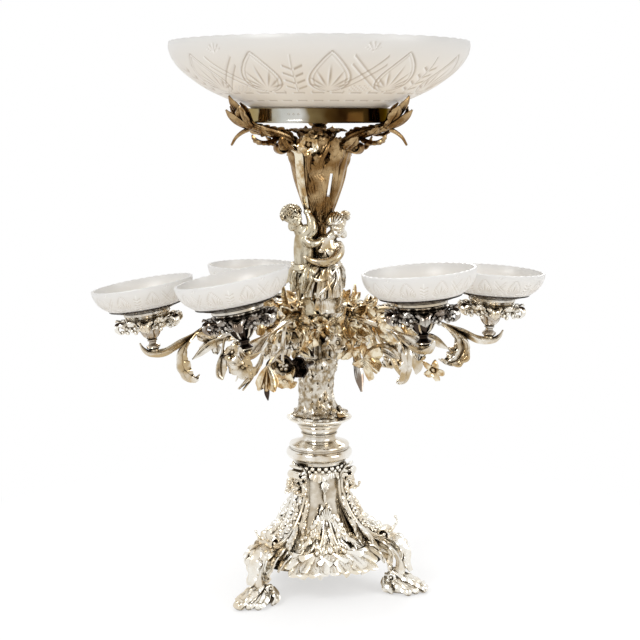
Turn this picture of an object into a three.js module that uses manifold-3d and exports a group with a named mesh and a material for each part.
// Victorian table centrepiece in silver plate: a tripod base, a tree-trunk stem with two figures,
// six leafy branches with small cut-glass bowls, and one large cut-glass bowl on a ring.
// Millimetres, +Z up. The origin is on the stem's axis at table height, and the front faces -Y.

import * as THREE from 'three';
import { mergeVertices } from 'three/addons/utils/BufferGeometryUtils.js';
import Module from 'manifold-3d';

const wasm = await Module();
wasm.setup();

// Fits shared by the whole assembly
const SEAT = 0.3; // gap left where one piece rests in or against another
const ROD_RADIUS = 4; // tie rod that clamps the stem from the base to the horn
const ROD_HOLE = ROD_RADIUS + SEAT;

// Tripod base
const BASE_HEIGHT = 158;
const BASE_NECK = 26; // mean radius under the pedestal
const BASE_SKIRT = 70; // mean radius of the lower rim
const BASE_CLEAR = 38; // lower rim above the table
const BASE_WALL = 4;
const BASE_LOBE = 0.14; // share by which the three corners stand out
const LEG_AZIMUTH = -45.5; // first leg, degrees to the right of the front
const LEG_REACH = 139; // stem axis to toe
const LEG_HEIGHT = 74;
const LEG_WIDTH = 25;
const FOOT_HEIGHT = 16;
const BUTTRESS_WIDTH = 18; // at its foot; the upper part is wider
const BUTTRESS_FOOT = 92; // radius of the buttress's lower scroll
const APRON_HEIGHT = 42;
const APRON_THICK = 5;
const APRON_SPREAD = 41; // half the angle that an apron covers, degrees

// Stem, from the bottom up
const PEDESTAL_HEIGHT = 50;
const PEDESTAL_RADIUS = 41;
const PEDESTAL_NECK = 20.5;
const PEDESTAL_TOP = 28;
const DISH_HEIGHT = 11;
const DISH_RADIUS = 40;
const TRUNK_HEIGHT = 73;
const TRUNK_RADIUS = 23;
const HUB_HEIGHT = 53;
const HUB_RADIUS = 26;
const HUB_NECK = 20;
const HORN_HEIGHT = 215;
const HORN_STALK = 8;
const HORN_MOUTH = 37;
const ROD_GRIP = 14; // length of rod inside the horn
const WASHER_RADIUS = 12;
const WASHER_THICK = 2;
const NUT_RADIUS = 8;
const NUT_HEIGHT = 7;
const ROD_TAIL = 4; // rod that shows past the nut

// Sockets in the hub, and the branch tongues that drop into them
const SOCKET_REACH = 27;
const SOCKET_DEPTH = 16;
const SOCKET_TOP = 22; // above the hub's lower face
const LUG_WIDTH = 16;
const LUG_DEEP = 14;
const TONGUE_WIDTH = 9;
const TONGUE_DEEP = 5;
const TONGUE_LENGTH = 15;
const ROOT_WIDTH = 12;
const ROOT_DEEP = 8;

// Branches: azimuth from the front (degrees), rise of the small bowl's rim above the hub as a share
// of BOWL_RISE, and sideways lean of the cup (degrees, + is right side down)
const BRANCHES = [
  { azimuth: -88, rise: 0.89, lean: -6 },
  { azimuth: -25.5, rise: 1.2, lean: -7 },
  { azimuth: 30.5, rise: 1.26, lean: -2.75 },
  { azimuth: 92, rise: 1.04, lean: 2.3 },
  { azimuth: 146, rise: 0.76, lean: 0 },
  { azimuth: 205, rise: 0.9, lean: 0 },
];
const BOWL_RISE = 100; // a level bowl's rim above the hub's lower face
const BOWL_REACH = 213; // stem axis to the middle of a small bowl
const ARM_CREST = 54; // crest of an arm above the hub's lower face
const ARM_THICK = 6; // half the thickness at the crest
const BEND_START = 80; // radius where an arm starts to bend to its own height
const BOSS_RADIUS = 9;
const BOSS_HEIGHT = 8;
const FLOWER_DROP = 66; // arm to the mouth of the hanging flower
const FLOWER_LENGTH = 30;
const FLOWER_RADIUS = 17;
const FLOWER_TILT = 168; // degrees from straight up

// Cup, plate and small bowl of one branch, each measured from its own foot
const CUP_HEIGHT = 45;
const CUP_STEM = 7;
const COLLAR_RADIUS = 40;
const PLATE_RADIUS = 45;
const PLATE_HEIGHT = 6;
const PLATE_FLOOR = 2.3;
const SMALL_RADIUS = 62;
const SMALL_FOOT = 38;
const SMALL_HEIGHT = 31;
const SMALL_WALL = 3.2;
const SMALL_BELLY = { low: [0.46, 0.26], top: [0.97, 0.62] };

// Ring, claws and large bowl
const RING_RISE = 13; // ring above the top of the horn
const RING_HEIGHT = 17;
const RING_RADIUS = 85;
const RING_BAND = 3.5;
const RING_LEDGE = 8;
const LEDGE_THICK = 3;
const LEDGE_RISE = 4;
const CLAW_AZIMUTH = -60;
const CLAW_REACH = 117;
const CLAW_WIDTH = 18;
const LARGE_RADIUS = 178;
const LARGE_HEIGHT = 87;
const LARGE_WALL = 6;
const LARGE_BELLY = { low: [0.56, 0.22], top: [0.992, 0.6] };
const SCALLOP = 0.8; // depth of the scallops round a bowl's rim

// Levels that follow from the sizes above
const PEDESTAL_Z = BASE_HEIGHT;
const DISH_Z = PEDESTAL_Z + PEDESTAL_HEIGHT;
const TRUNK_Z = DISH_Z + DISH_HEIGHT;
const HUB_Z = TRUNK_Z + TRUNK_HEIGHT;
const FIGURE_Z = HUB_Z + HUB_HEIGHT;
const HORN_Z = FIGURE_Z;
const HORN_TOP = HORN_Z + HORN_HEIGHT;
const RING_Z = HORN_TOP + RING_RISE;
const LEDGE_Z = RING_Z + LEDGE_RISE + LEDGE_THICK;
const LUG_TOP = HUB_Z + SOCKET_TOP;
const STACK_HEIGHT = CUP_HEIGHT + PLATE_FLOOR + SMALL_HEIGHT + 3 * SEAT;

// Finishes
const SILVER = new THREE.MeshStandardMaterial({ color: 0xd8d2c4, metalness: 1, roughness: 0.28 });
const TARNISH = new THREE.MeshStandardMaterial({ color: 0xa38a63, metalness: 1, roughness: 0.36 });
const STEEL = new THREE.MeshStandardMaterial({ color: 0x8b8b88, metalness: 1, roughness: 0.45 });
const GLASS = new THREE.MeshStandardMaterial({ color: 0xf0ede8, metalness: 0, roughness: 0.35 });

const centrepiece = new THREE.Group();
centrepiece.name = 'centrepiece';

// Closed solid of a three.js geometry, with its faces turned outward
function solid(geometry) {
  const bare = geometry.clone();
  bare.deleteAttribute('normal');
  bare.deleteAttribute('uv');
  const merged = mergeVertices(bare);
  const points = merged.attributes.position;
  const corners = merged.index.array;
  const triangles = [];
  const a = new THREE.Vector3();
  const b = new THREE.Vector3();
  const c = new THREE.Vector3();
  let volume = 0;
  for (let i = 0; i < corners.length; i += 3) {
    const [p, q, r] = corners.slice(i, i + 3);
    if (p === q || q === r || r === p) continue;
    triangles.push([p, q, r]);
    a.fromBufferAttribute(points, p);
    b.fromBufferAttribute(points, q);
    c.fromBufferAttribute(points, r);
    volume += a.dot(b.cross(c));
  }
  const outward = volume > 0 ? triangles : triangles.map(([p, q, r]) => [p, r, q]);
  return new wasm.Manifold(new wasm.Mesh({
    numProp: 3,
    vertProperties: new Float32Array(points.array),
    triVerts: new Uint32Array(outward.flat()),
  }));
}

function joined(bodies) {
  return bodies.reduce((whole, next) => whole.add(next));
}

function piece(name, body, material, parent = centrepiece) {
  const shape = body.getMesh();
  const geometry = new THREE.BufferGeometry();
  geometry.setAttribute('position', new THREE.BufferAttribute(new Float32Array(shape.vertProperties), 3));
  geometry.setIndex(new THREE.BufferAttribute(new Uint32Array(shape.triVerts), 1));
  geometry.computeVertexNormals();
  const mesh = new THREE.Mesh(geometry, material);
  mesh.name = name;
  parent.add(mesh);
  return mesh;
}

// Angle about Z of a direction that lies so many degrees to the right of the front
function angleOf(azimuth) {
  return THREE.MathUtils.degToRad(azimuth - 90);
}

function turnedBy(geometry, angle) {
  return geometry.clone().rotateZ(angle);
}

// Outline of radius and height turned about the Z axis
function turned(outline, around, curve = 4) {
  return new THREE.LatheGeometry(outline.getPoints(curve), around).rotateX(Math.PI / 2);
}

// Moves every point of a geometry: change(angle, radius, height) gives the new radius and height
function reshaped(geometry, change) {
  const points = geometry.attributes.position;
  for (let i = 0; i < points.count; i += 1) {
    const angle = Math.atan2(points.getY(i), points.getX(i));
    const radius = Math.hypot(points.getX(i), points.getY(i));
    const [far, high] = change(angle, radius, points.getZ(i));
    points.setXYZ(i, far * Math.cos(angle), far * Math.sin(angle), high);
  }
  return geometry;
}

function block(x, y, z, deep, wide, high) {
  return new THREE.BoxGeometry(deep, wide, high).translate(x, y, z + high / 2);
}

function ball(x, y, z, rx, ry, rz) {
  return new THREE.SphereGeometry(1, 8, 6).scale(rx, ry, rz).translate(x, y, z);
}

// Closed solid along a smooth route. Its half width and half thickness change on the way,
// its edges can rise like a leaf's (cup), and every second ring can be narrower (notch).
function swept(route, sizes, options = {}) {
  const { across = () => [0, 1, 0], sides = 8, rings = 10, cup = 0, notch = 0 } = options;
  const path = new THREE.CatmullRomCurve3(route.map((point) => new THREE.Vector3(...point)));
  const size = new THREE.SplineCurve(sizes.map((pair) => new THREE.Vector2(...pair)));
  const points = [];
  for (let i = 0; i <= rings; i += 1) {
    const centre = path.getPointAt(i / rings);
    const ahead = path.getTangentAt(i / rings);
    const side = new THREE.Vector3(...across(centre));
    side.addScaledVector(ahead, -side.dot(ahead)).normalize();
    const up = new THREE.Vector3().crossVectors(ahead, side);
    const [half, thick] = size.getPoint(i / rings).toArray();
    const wide = i % 2 ? half * (1 - notch) : half;
    for (let j = 0; j < sides; j += 1) {
      const u = Math.cos((2 * Math.PI * j) / sides);
      const v = Math.sin((2 * Math.PI * j) / sides);
      const corner = centre.clone().addScaledVector(side, wide * u);
      corner.addScaledVector(up, thick * v + cup * wide * u * u);
      points.push(...corner.toArray());
    }
  }
  const faces = [];
  for (let i = 0; i < rings; i += 1) {
    for (let j = 0; j < sides; j += 1) {
      const here = i * sides + j;
      const next = i * sides + ((j + 1) % sides);
      faces.push(here, next, next + sides, here, next + sides, here + sides);
    }
  }
  const last = rings * sides;
  for (let j = 1; j < sides - 1; j += 1) {
    faces.push(0, j + 1, j, last, last + j, last + j + 1);
  }
  const geometry = new THREE.BufferGeometry();
  geometry.setAttribute('position', new THREE.Float32BufferAttribute(points, 3));
  geometry.setIndex(faces);
  return geometry;
}

// Route in the plane of one arm or leg: pairs of radius and height
function radial(pairs) {
  return pairs.map(([radius, height]) => [radius, 0, height]);
}

// Outer face of the tripod body, from the neck down to the skirt
function drawSkirt(outline, grow) {
  const [neck, skirt] = [BASE_NECK + grow, BASE_SKIRT + grow];
  const drop = BASE_HEIGHT - BASE_CLEAR;
  outline.bezierCurveTo(
    neck - 4, BASE_HEIGHT - 0.4 * drop,
    neck + 8, BASE_CLEAR + 0.27 * drop,
    skirt, BASE_CLEAR,
  );
}

// The corners point at the legs and fade out under the pedestal
function threeCornered(geometry) {
  const fade = 0.12 * BASE_HEIGHT;
  return reshaped(geometry, (angle, radius, height) => {
    const share = BASE_LOBE * Math.min(1, Math.max(0, (BASE_HEIGHT - height) / fade));
    return [radius * (1 + share * Math.cos(3 * (angle - angleOf(LEG_AZIMUTH)))), height];
  });
}

function baseBody() {
  const outline = new THREE.Path();
  outline.moveTo(ROD_HOLE, BASE_HEIGHT);
  outline.lineTo(BASE_NECK, BASE_HEIGHT);
  drawSkirt(outline, 0);
  const inside = new THREE.Path();
  inside.moveTo(BASE_NECK - BASE_WALL, BASE_HEIGHT - BASE_WALL);
  drawSkirt(inside, -BASE_WALL);
  const points = outline.getPoints(4).concat(inside.getPoints(4).reverse());
  points.push(new THREE.Vector2(ROD_HOLE, BASE_HEIGHT - BASE_WALL), points[0].clone());
  return threeCornered(new THREE.LatheGeometry(points, 18).rotateX(Math.PI / 2));
}

// What the tripod body takes up, with the seat gap, for cutting what leans on it
function baseSpace() {
  const outline = new THREE.Path();
  outline.moveTo(0, BASE_HEIGHT);
  outline.lineTo(BASE_NECK + 2 * SEAT, BASE_HEIGHT);
  drawSkirt(outline, 2 * SEAT);
  outline.lineTo(0, BASE_CLEAR);
  return threeCornered(turned(outline, 18, 4));
}

// Scroll buttress: a volute at the neck, a hollow back and a curled lower tip
function buttress(grow) {
  const [far, high] = [BUTTRESS_FOOT, BASE_HEIGHT];
  const stem = swept(
    radial([
      [0.45 * far, 0.935 * high], [0.36 * far, 0.95 * high], [0.315 * far, 0.87 * high],
      [0.34 * far, 0.74 * high], [0.42 * far, 0.62 * high], [0.56 * far, 0.51 * high],
      [0.74 * far, 0.445 * high], [0.9 * far, 0.43 * high], [far, 0.48 * high],
    ]),
    [[1.1, 3], [1.3, 4.5], [1.3, 5.5], [1, 6.5], [1.1, 7], [1.1, 6], [0.8, 3]]
      .map(([wide, thick]) => [(wide * BUTTRESS_WIDTH) / 2 + grow, thick + grow]),
    { rings: 10, sides: 6 },
  );
  const curl = swept(
    radial([[0.34 * far, 0.77 * high], [0.42 * far, 0.8 * high], [0.48 * far, 0.86 * high]]),
    [[6 + grow, 3.5 + grow], [5 + grow, 2.5 + grow], [3 + grow, 1.5 + grow]],
    { rings: 3, sides: 5 },
  );
  return solid(stem).add(solid(curl));
}

// Acanthus leg: a high knee, a scrolled ankle and a flat-soled foot
function leg() {
  const [far, high] = [LEG_REACH, LEG_HEIGHT];
  const half = LEG_WIDTH / 2;
  const shank = swept(
    radial([
      [0.4 * far, 0.7 * high], [0.57 * far, 0.78 * high], [0.7 * far, 0.72 * high],
      [0.75 * far, 0.54 * high], [0.72 * far, 0.34 * high], [0.71 * far, 0.14 * high],
    ]),
    [[half, 10], [1.05 * half, 11], [half, 10], [0.85 * half, 8], [0.85 * half, 8]],
    { rings: 6, sides: 6 },
  );
  const foot = swept(
    radial([[0.63 * far, 0.6 * FOOT_HEIGHT], [0.8 * far, 0.5 * FOOT_HEIGHT], [far, 0.45 * FOOT_HEIGHT]]),
    [[0.8 * half, 0.5 * FOOT_HEIGHT], [1.2 * half, 0.62 * FOOT_HEIGHT], [0.7 * half, 0.5 * FOOT_HEIGHT]],
    { rings: 4, sides: 6 },
  );
  const curls = [0.62, 0.79].map((share) => {
    const volute = new THREE.CylinderGeometry(5, 5, 1.16 * LEG_WIDTH, 5);
    return solid(volute.translate(share * far, 0, 1.2 * FOOT_HEIGHT));
  });
  const floor = solid(block(0, 0, -LEG_HEIGHT, 3 * far, 3 * far, LEG_HEIGHT));
  return joined([solid(shank), solid(foot), ...curls]).subtract(floor);
}

// Foliage apron between two legs: a scalloped shield that leans on the flaring body
function apron() {
  const spread = THREE.MathUtils.degToRad(APRON_SPREAD);
  const reach = (angle) => BASE_SKIRT * (1 - BASE_LOBE * Math.cos(3 * angle)) - 0.3 * APRON_HEIGHT;
  const route = [-1, -0.66, -0.33, 0, 0.33, 0.66, 1].map((share) => {
    const angle = share * spread;
    const far = reach(angle) + APRON_THICK;
    return [far * Math.cos(angle), far * Math.sin(angle), BASE_CLEAR + 0.36 * APRON_HEIGHT];
  });
  const half = APRON_HEIGHT / 2;
  return swept(
    route,
    [[0.4 * half, 2], [0.8 * half, 4], [half, APRON_THICK], [0.8 * half, 4], [0.4 * half, 2]],
    {
      across: (centre) => [-0.6 * centre.x, -0.6 * centre.y, 0.8 * centre.length()],
      rings: 8, sides: 6, notch: 0.12,
    },
  );
}

function buildBase() {
  piece('base_body', solid(baseBody()), SILVER);
  for (let i = 0; i < 3; i += 1) {
    const angle = angleOf(LEG_AZIMUTH + 120 * i);
    const space = solid(baseSpace().rotateZ(-angle));
    const brace = buttress(0).subtract(space);
    piece(`base_buttress_${i + 1}`, brace, SILVER).rotation.z = angle;
    piece(`base_leg_${i + 1}`, leg().subtract(space).subtract(buttress(SEAT)), SILVER).rotation.z = angle;
    const between = angle + Math.PI / 3;
    const open = solid(baseSpace().rotateZ(-between));
    piece(`base_apron_${i + 1}`, solid(apron()).subtract(open), SILVER).rotation.z = between;
  }
}

// Turned pedestal: a torus and a stepped disc below, a waist, a flared rim above
function buildPedestal() {
  const [z, r, neck, top] = [PEDESTAL_Z, PEDESTAL_RADIUS, PEDESTAL_NECK, PEDESTAL_TOP];
  const outline = new THREE.Path();
  outline.moveTo(ROD_HOLE, z);
  outline.lineTo(0.72 * r, z);
  outline.lineTo(0.86 * r, z + 0.08 * PEDESTAL_HEIGHT);
  outline.quadraticCurveTo(1.08 * r, z + 0.2 * PEDESTAL_HEIGHT, 0.94 * r, z + 0.31 * PEDESTAL_HEIGHT);
  outline.lineTo(0.88 * r, z + 0.35 * PEDESTAL_HEIGHT);
  outline.lineTo(0.88 * r, z + 0.44 * PEDESTAL_HEIGHT);
  outline.quadraticCurveTo(neck + 2, z + 0.48 * PEDESTAL_HEIGHT, neck, z + 0.56 * PEDESTAL_HEIGHT);
  outline.lineTo(neck, z + 0.68 * PEDESTAL_HEIGHT);
  outline.lineTo(neck + 2, z + 0.74 * PEDESTAL_HEIGHT);
  outline.quadraticCurveTo(neck + 3, z + 0.88 * PEDESTAL_HEIGHT, top, z + PEDESTAL_HEIGHT);
  outline.lineTo(ROD_HOLE, z + PEDESTAL_HEIGHT);
  outline.closePath();
  piece('pedestal', solid(turned(outline, 16, 2)), SILVER);
}

// Drip dish with a rolled rim and a raised, scalloped middle
function buildDish() {
  const [z, r] = [DISH_Z, DISH_RADIUS];
  const outline = new THREE.Path();
  outline.moveTo(ROD_HOLE, z);
  outline.lineTo(0.67 * r, z);
  outline.quadraticCurveTo(0.9 * r, z + 0.1 * DISH_HEIGHT, r, z + 0.45 * DISH_HEIGHT);
  outline.lineTo(0.98 * r, z + 0.62 * DISH_HEIGHT);
  outline.lineTo(0.9 * r, z + 0.6 * DISH_HEIGHT);
  outline.lineTo(TRUNK_RADIUS + 8, z + DISH_HEIGHT);
  outline.lineTo(ROD_HOLE, z + DISH_HEIGHT);
  outline.closePath();
  piece('drip_dish', solid(turned(outline, 16, 2)), SILVER);
}

// Tree trunk with root flares and twisting ribs of bark
function buildTrunk() {
  const [z, r] = [TRUNK_Z, TRUNK_RADIUS];
  const outline = new THREE.Path();
  outline.moveTo(ROD_HOLE, z);
  outline.lineTo(1.25 * r, z);
  outline.quadraticCurveTo(0.95 * r, z + 0.15 * TRUNK_HEIGHT, 0.93 * r, z + 0.45 * TRUNK_HEIGHT);
  outline.quadraticCurveTo(0.95 * r, z + 0.8 * TRUNK_HEIGHT, 1.06 * r, z + TRUNK_HEIGHT);
  outline.lineTo(ROD_HOLE, z + TRUNK_HEIGHT);
  outline.closePath();
  const bark = reshaped(turned(outline, 12, 3), (angle, radius, height) => {
    const rib = radius > ROD_HOLE + 1 ? 0.06 * Math.cos(5 * angle + (height - z) / 14) : 0;
    return [radius * (1 + rib), height];
  });
  piece('trunk', solid(bark), SILVER);
}

// Hub with one open-topped socket for each branch
function buildHub(arms) {
  const [z, r] = [HUB_Z, HUB_RADIUS];
  const outline = new THREE.Path();
  outline.moveTo(ROD_HOLE, z);
  outline.lineTo(0.94 * r, z);
  outline.lineTo(r, z + 0.15 * HUB_HEIGHT);
  outline.lineTo(0.95 * r, LUG_TOP - 2);
  outline.lineTo(HUB_NECK, LUG_TOP + 2);
  outline.lineTo(HUB_NECK - 2, z + 0.75 * HUB_HEIGHT);
  outline.quadraticCurveTo(HUB_NECK + 1, z + 0.85 * HUB_HEIGHT, HUB_NECK + 2, z + HUB_HEIGHT);
  outline.lineTo(ROD_HOLE, z + HUB_HEIGHT);
  outline.closePath();
  let hub = solid(turned(outline, 12, 1));
  for (const arm of arms) {
    const lug = block(SOCKET_REACH, 0, z + 1, LUG_DEEP, LUG_WIDTH, SOCKET_TOP - 1);
    hub = hub.add(solid(turnedBy(lug, arm.angle)));
  }
  for (const arm of arms) {
    const pocket = block(
      SOCKET_REACH, 0, LUG_TOP - SOCKET_DEPTH,
      TONGUE_DEEP + 2 * SEAT, TONGUE_WIDTH + 2 * SEAT, 2 * SOCKET_DEPTH,
    );
    hub = hub.subtract(solid(turnedBy(pocket, arm.angle)));
  }
  piece('branch_hub', hub, SILVER);
}

// Tie rod with its washer and nut up inside the hollow base
function buildTieRod() {
  const under = BASE_HEIGHT - BASE_WALL;
  const foot = under - WASHER_THICK - NUT_HEIGHT - ROD_TAIL;
  const rod = new THREE.CylinderGeometry(ROD_RADIUS, ROD_RADIUS, HORN_Z + ROD_GRIP - foot, 12);
  rod.rotateX(Math.PI / 2).translate(0, 0, (HORN_Z + ROD_GRIP + foot) / 2);
  piece('tie_rod', solid(rod), STEEL);
  const hole = solid(new THREE.CylinderGeometry(ROD_HOLE, ROD_HOLE, 4 * NUT_HEIGHT, 12)
    .rotateX(Math.PI / 2).translate(0, 0, under));
  const washer = new THREE.CylinderGeometry(WASHER_RADIUS, WASHER_RADIUS, WASHER_THICK, 12)
    .rotateX(Math.PI / 2).translate(0, 0, under - WASHER_THICK / 2);
  piece('tie_washer', solid(washer).subtract(hole), STEEL);
  const nut = new THREE.CylinderGeometry(NUT_RADIUS, NUT_RADIUS, NUT_HEIGHT, 6)
    .rotateX(Math.PI / 2).translate(0, 0, under - WASHER_THICK - NUT_HEIGHT / 2);
  piece('tie_nut', solid(nut).subtract(hole), STEEL);
}

// Where a branch's cup stands: the frame of its foot, and the arm that has to reach it
function placeBranch({ azimuth, rise, lean }) {
  const tilt = THREE.MathUtils.degToRad(lean);
  const axis = new THREE.Vector3(Math.sin(tilt), 0, Math.cos(tilt));
  const angle = angleOf(azimuth);
  const rim = HUB_Z + rise * BOWL_RISE;
  const mouth = new THREE.Vector3(BOWL_REACH * Math.cos(angle), BOWL_REACH * Math.sin(angle), rim);
  const foot = mouth.addScaledVector(axis, -STACK_HEIGHT);
  const frame = new THREE.Matrix4().makeRotationY(tilt).setPosition(foot);
  const low = foot.clone().addScaledVector(axis, -BOSS_HEIGHT);
  return { frame, angle: Math.atan2(low.y, low.x), reach: Math.hypot(low.x, low.y), height: low.z };
}

// Bell-shaped flower on its stalk, drawn along +Z, with a scalloped mouth
function flower() {
  const calyx = FLOWER_DROP - FLOWER_LENGTH;
  const outline = new THREE.Path();
  outline.moveTo(0, 0);
  outline.lineTo(3, 0);
  outline.lineTo(3, calyx);
  outline.lineTo(0.5 * FLOWER_RADIUS, calyx + 0.2 * FLOWER_LENGTH);
  outline.lineTo(0.9 * FLOWER_RADIUS, calyx + 0.55 * FLOWER_LENGTH);
  outline.lineTo(FLOWER_RADIUS, FLOWER_DROP);
  outline.lineTo(0.84 * FLOWER_RADIUS, FLOWER_DROP - 1);
  outline.lineTo(0, calyx + 0.5 * FLOWER_LENGTH);
  return reshaped(turned(outline, 8, 1), (angle, far, high) => {
    const scallop = high > 0.9 * FLOWER_DROP ? 0.14 * Math.cos(4 * angle) : 0;
    return [far * (1 + scallop), high];
  });
}

// Cast branch: a tongue and root at the hub, an arm that rises and dips to a leafy end,
// a long acanthus leaf curling under it, and a spray of one flower and three leaves
function branch(arm) {
  const crest = HUB_Z + ARM_CREST;
  const far = arm.reach;
  // Share of the reach, rise over the crest, and place to the side; the arm eases down to its cup
  const bend = ([share, rise, side = 0]) => {
    const along = (share * far - BEND_START) / (far - BEND_START);
    const ease = THREE.MathUtils.smoothstep(along, 0, 1);
    return [share * far, side, crest + rise + (arm.height - crest) * ease];
  };
  const stem = swept(
    [
      [SOCKET_REACH, 0, LUG_TOP + 4], [SOCKET_REACH, 0, LUG_TOP + 8],
      ...[[0.19, -8], [0.33, 0], [0.52, 3], [0.72, 4], [0.88, 0]].map(bend),
      ...[[1, 0], [1.07, 4], [1.12, 12], [1.13, 20]].map(bend),
    ],
    [
      [ROOT_WIDTH / 2, 4], [6, 5], [6, ARM_THICK], [6, ARM_THICK], [8, 5], [11, 4.5], [13, 4.5], [11, 3], [3, 1.5],
    ],
    { rings: 11, sides: 6 },
  );
  const acanthus = swept(
    [[0.67, 2], [0.75, 2], [0.82, -12], [0.83, -34], [0.77, -53], [0.69, -54]].map(bend),
    [[5, 2.5], [9, 2.5], [14, 2], [13, 2], [10, 1.8], [3, 1.2]],
    { rings: 8, sides: 5, cup: -0.35, notch: 0.16 },
  );
  const sprayLeaf = (...route) => swept(
    route.map(bend),
    [[3, 2], [9, 1.6], [2, 1]],
    { rings: 3, sides: 4 },
  );
  const [bellX, , bellZ] = bend([0.44, 0]);
  const bell = flower().rotateY(THREE.MathUtils.degToRad(FLOWER_TILT)).translate(bellX, 0, bellZ);
  const casting = [
    stem, acanthus, bell,
    block(SOCKET_REACH, 0, LUG_TOP + SEAT, ROOT_DEEP, ROOT_WIDTH, 8),
    block(SOCKET_REACH, 0, LUG_TOP + 1 - TONGUE_LENGTH, TONGUE_DEEP, TONGUE_WIDTH, TONGUE_LENGTH),
    sprayLeaf([0.46, -18], [0.56, -20, 3], [0.66, -28]),
    sprayLeaf([0.475, -31], [0.59, -36, 9], [0.66, -57, 15]),
    sprayLeaf([0.47, -31], [0.4, -43, -9], [0.36, -68, -14]),
  ];
  const boss = new THREE.CylinderGeometry(BOSS_RADIUS, BOSS_RADIUS, BOSS_HEIGHT + 4, 8)
    .rotateX(Math.PI / 2).translate(0, 0, -(BOSS_HEIGHT + 4) / 2).applyMatrix4(arm.frame);
  return joined(casting.map((geometry) => solid(turnedBy(geometry, arm.angle)))).add(solid(boss));
}

// Turned baluster under a ruffled collar of leaves
function branchCup() {
  const [high, r] = [CUP_HEIGHT, COLLAR_RADIUS];
  const outline = new THREE.Path();
  outline.moveTo(0, 0);
  outline.lineTo(1.25 * CUP_STEM, 0);
  outline.lineTo(CUP_STEM, 0.12 * high);
  outline.quadraticCurveTo(1.6 * CUP_STEM, 0.26 * high, 1.3 * CUP_STEM, 0.4 * high);
  outline.quadraticCurveTo(0.8 * r, 0.42 * high, r, 0.72 * high);
  outline.lineTo(0.88 * r, 0.9 * high);
  outline.lineTo(0.8 * r, high);
  outline.lineTo(0, high);
  return reshaped(turned(outline, 12, 2), (angle, radius, height) => {
    const ruffle = radius > 0.5 * r && height < 0.95 * high ? 0.08 * Math.cos(6 * angle) : 0;
    return [radius * (1 - ruffle), height];
  });
}

function bowlPlate() {
  const outline = new THREE.Path();
  outline.moveTo(0, 0);
  outline.lineTo(0.74 * PLATE_RADIUS, 0);
  outline.lineTo(PLATE_RADIUS, 0.6 * PLATE_HEIGHT);
  outline.lineTo(PLATE_RADIUS, PLATE_HEIGHT);
  outline.lineTo(SMALL_FOOT + 2, PLATE_FLOOR);
  outline.lineTo(0, PLATE_FLOOR);
  return turned(outline, 12, 1);
}

// Open bowl with a flat foot and a scalloped rim; belly gives the two handles of the curve of its side,
// the low one as a share of the way from foot to rim, the high one's radius as a share of the rim's
function glassBowl({ radius, foot, height, wall, step, around, curve, belly }) {
  const outline = new THREE.Path();
  const [lowFar, lowHigh] = [foot + belly.low[0] * (radius - foot), step + belly.low[1] * (height - step)];
  const [topFar, topHigh] = [belly.top[0] * radius, step + belly.top[1] * (height - step)];
  outline.moveTo(0, 0);
  outline.lineTo(foot, 0);
  outline.lineTo(foot, step);
  outline.bezierCurveTo(lowFar, lowHigh, topFar, topHigh, radius, height - 1.2 * wall);
  outline.lineTo(radius - 0.2 * wall, height);
  outline.lineTo(radius - wall, height);
  outline.bezierCurveTo(
    topFar - wall, topHigh + wall, lowFar - wall, lowHigh + wall, foot - wall, step + wall,
  );
  outline.lineTo(0, step + wall);
  return reshaped(turned(outline, around, curve), (angle, far, high) => {
    const scallop = high > height - wall ? SCALLOP * Math.cos((around / 2) * angle) : 0;
    return [far, high + scallop - (high > height - wall ? SCALLOP : 0)];
  });
}

function buildBranches(arms) {
  arms.forEach((arm, i) => {
    const label = i + 1;
    piece(`branch_${label}`, branch(arm), SILVER);
    const stack = new THREE.Group();
    stack.applyMatrix4(arm.frame);
    centrepiece.add(stack);
    piece(`branch_cup_${label}`, solid(branchCup()), SILVER, stack).position.z = SEAT;
    piece(`bowl_plate_${label}`, solid(bowlPlate()), SILVER, stack).position.z = CUP_HEIGHT + 2 * SEAT;
    const small = glassBowl({
      radius: SMALL_RADIUS, foot: SMALL_FOOT, height: SMALL_HEIGHT,
      wall: SMALL_WALL, step: 1, around: 16, curve: 2, belly: SMALL_BELLY,
    });
    piece(`small_bowl_${label}`, solid(small), GLASS, stack).position.z = STACK_HEIGHT - SMALL_HEIGHT;
  });
}

// Horn-shaped upper stem: a thin stalk between the figures that swells into three lobes
function horn(grow) {
  const [z, high] = [HORN_Z, HORN_HEIGHT];
  const outline = new THREE.Path();
  outline.moveTo(0, z);
  outline.lineTo(HORN_STALK + grow, z);
  outline.lineTo(HORN_STALK + grow, z + 0.45 * high);
  outline.bezierCurveTo(
    HORN_STALK + grow, z + 0.54 * high,
    0.62 * HORN_MOUTH + grow, z + 0.58 * high,
    0.73 * HORN_MOUTH + grow, z + 0.72 * high,
  );
  outline.quadraticCurveTo(0.85 * HORN_MOUTH + grow, z + 0.82 * high, HORN_MOUTH + grow, z + 0.93 * high);
  outline.quadraticCurveTo(0.95 * HORN_MOUTH + grow, z + high, 0, z + high + grow);
  return reshaped(turned(outline, 12, 3), (angle, radius, height) => {
    const share = Math.min(1, Math.max(0, (height - z) / high - 0.6) / 0.3);
    return [radius * (1 + 0.08 * share * Math.cos(3 * (angle - angleOf(CLAW_AZIMUTH)))), height];
  });
}

function buildHorn() {
  const hole = new THREE.CylinderGeometry(ROD_HOLE, ROD_HOLE, 2 * (ROD_GRIP + 1), 12)
    .rotateX(Math.PI / 2).translate(0, 0, HORN_Z);
  piece('horn_stem', solid(horn(0)).subtract(solid(hole)), TARNISH);
}

// Rings of an arm, a neck or a body that stands free
function limb(route, sizes, grow, rings = 3, sides = 6) {
  return solid(swept(route, sizes.map(([wide, thick]) => [wide + grow, thick + grow]), { rings, sides }));
}

function head(x, y, z, radius, grow) {
  const r = radius + grow;
  return solid(ball(x, y, z, 0.86 * r, 0.95 * r, r));
}

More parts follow.
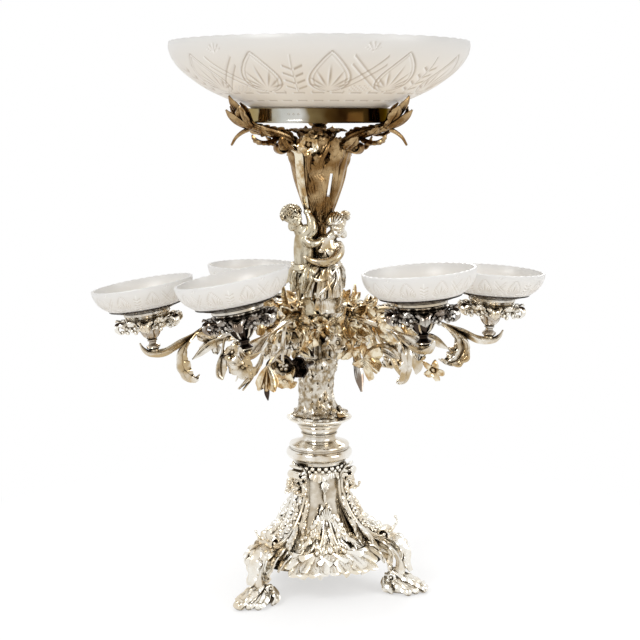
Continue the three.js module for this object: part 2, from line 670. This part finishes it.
// Draped woman to the right of the stalk, bending towards the child
function woman(grow) {
  const z = FIGURE_Z;
  return joined([
    limb([[9, -12, z], [15, -13, z + 25], [16, -12, z + 55], [15, -12, z + 68]],
      [[9, 9], [13, 12], [11, 11], [9, 8]], grow, 4, 7),
    limb([[15, -12, z + 60], [14, -13, z + 74], [17, -12, z + 88], [20, -12, z + 99]],
      [[9, 8], [11, 8], [9, 7], [4, 4]], grow, 4, 6),
    limb([[21, -14, z + 86], [14, -22, z + 72], [0, -24, z + 66], [-12, -20, z + 65]],
      [[4.5, 4.5], [4, 4], [3.5, 3.5], [3, 3]], grow, 4, 5),
    limb([[12, -10, z + 86], [2, -16, z + 88], [-6, -17, z + 95]],
      [[4, 4], [3.5, 3.5], [3, 3]], grow),
    head(22, -14, z + 106, 12, grow),
    head(29, -9, z + 117, 6, grow),
    limb([[8, -10, z], [24, -8, z + 30], [27, -6, z + 50]],
      [[4, 4], [4, 6], [2, 3]], grow),
  ]);
}

// Child on a rock to the left of the stalk, reaching for the horn
function child(grow) {
  const z = FIGURE_Z;
  return joined([
    limb([[-12, -8, z], [-14, -10, z + 12], [-15, -10, z + 25]],
      [[8, 8], [9, 8], [7, 7]], grow, 3),
    limb([[-12, -14, z + 24], [-15, -19, z + 40], [-19, -14, z + 58]],
      [[4, 4], [4.5, 4.5], [6, 6]], grow),
    limb([[-20, -8, z + 24], [-23, -12, z + 42], [-22, -12, z + 58]],
      [[4, 4], [4.5, 4.5], [6, 6]], grow),
    limb([[-20, -14, z + 55], [-24, -14, z + 68], [-27, -13, z + 84], [-30, -14, z + 108]],
      [[9, 8], [9, 7], [10, 7], [4, 4]], grow, 6, 6),
    limb([[-24, -16, z + 88], [-18, -18, z + 97], [-14, -13, z + 108]],
      [[4, 4], [3.5, 3.5], [3, 3]], grow),
    head(-31, -14, z + 115, 11.5, grow),
  ]);
}

function buildFigures() {
  const stalk = solid(horn(SEAT));
  const floor = solid(block(0, 0, FIGURE_Z - HUB_HEIGHT, 4 * HUB_HEIGHT, 4 * HUB_HEIGHT, HUB_HEIGHT));
  const standing = woman(0).subtract(stalk).subtract(floor);
  piece('figure_woman', standing, SILVER);
  piece('figure_child', child(0).subtract(stalk).subtract(woman(SEAT)).subtract(floor), SILVER);
}

// Plain band with an inner ledge for the foot of the large bowl
function ring(grow) {
  const outer = RING_RADIUS + grow;
  const outline = new THREE.Path();
  outline.moveTo(RING_RADIUS - RING_BAND - grow, RING_Z - grow);
  outline.lineTo(outer, RING_Z - grow);
  outline.lineTo(outer, RING_Z + RING_HEIGHT);
  outline.lineTo(RING_RADIUS - RING_BAND, RING_Z + RING_HEIGHT);
  outline.lineTo(RING_RADIUS - RING_BAND, LEDGE_Z);
  outline.lineTo(RING_RADIUS - RING_BAND - RING_LEDGE, LEDGE_Z);
  outline.lineTo(RING_RADIUS - RING_BAND - RING_LEDGE, LEDGE_Z - LEDGE_THICK);
  outline.lineTo(RING_RADIUS - RING_BAND - grow, LEDGE_Z - LEDGE_THICK);
  outline.closePath();
  return turned(outline, 24, 1);
}

// Leafy claw from the horn out under the ring and up past it to a curled bud
function claw() {
  const far = CLAW_REACH;
  const start = HORN_TOP - 0.1 * HORN_HEIGHT;
  const half = CLAW_WIDTH / 2;
  const stem = swept(
    radial([
      [0.22 * far, start], [0.43 * far, start + 14], [0.6 * far, RING_Z - 10], [0.72 * far, RING_Z - 3],
      [0.8 * far, RING_Z + 5], [0.83 * far, RING_Z + 14], [0.92 * far, RING_Z + 20], [far, RING_Z + 25],
    ]),
    [[half, 8], [0.9 * half, 7], [0.8 * half, 6.5], [0.8 * half, 5], [half, 4], [0.8 * half, 3], [0.25 * half, 1.5]],
    { rings: 9, sides: 6 },
  );
  const leaf = swept(
    radial([
      [0.4 * far, start + 12], [0.62 * far, RING_Z - 22], [0.82 * far, RING_Z - 20], [0.92 * far, RING_Z - 6],
    ]),
    [[4, 2], [half, 2], [0.9 * half, 1.8], [2, 1]],
    { rings: 6, sides: 6, cup: 0.3, notch: 0.15 },
  );
  return solid(stem).add(solid(leaf));
}

function buildTop() {
  piece('bowl_ring', solid(ring(0)), TARNISH);
  for (let i = 0; i < 3; i += 1) {
    const angle = angleOf(CLAW_AZIMUTH + 120 * i);
    const hornSpace = solid(horn(SEAT).rotateZ(-angle));
    const ringSpace = solid(ring(SEAT).rotateZ(-angle));
    piece(`leaf_claw_${i + 1}`, claw().subtract(hornSpace).subtract(ringSpace), TARNISH).rotation.z = angle;
  }
  const large = glassBowl({
    radius: LARGE_RADIUS, foot: RING_RADIUS - RING_BAND - 3 * SEAT, height: LARGE_HEIGHT,
    wall: LARGE_WALL, step: RING_Z + RING_HEIGHT - LEDGE_Z, around: 28, curve: 4, belly: LARGE_BELLY,
  });
  piece('large_bowl', solid(large), GLASS).position.z = LEDGE_Z + SEAT;
}

const arms = BRANCHES.map(placeBranch);
buildBase();
buildPedestal();
buildDish();
buildTrunk();
buildHub(arms);
buildTieRod();
buildBranches(arms);
buildFigures();
buildHorn();
buildTop();

export default centrepiece;
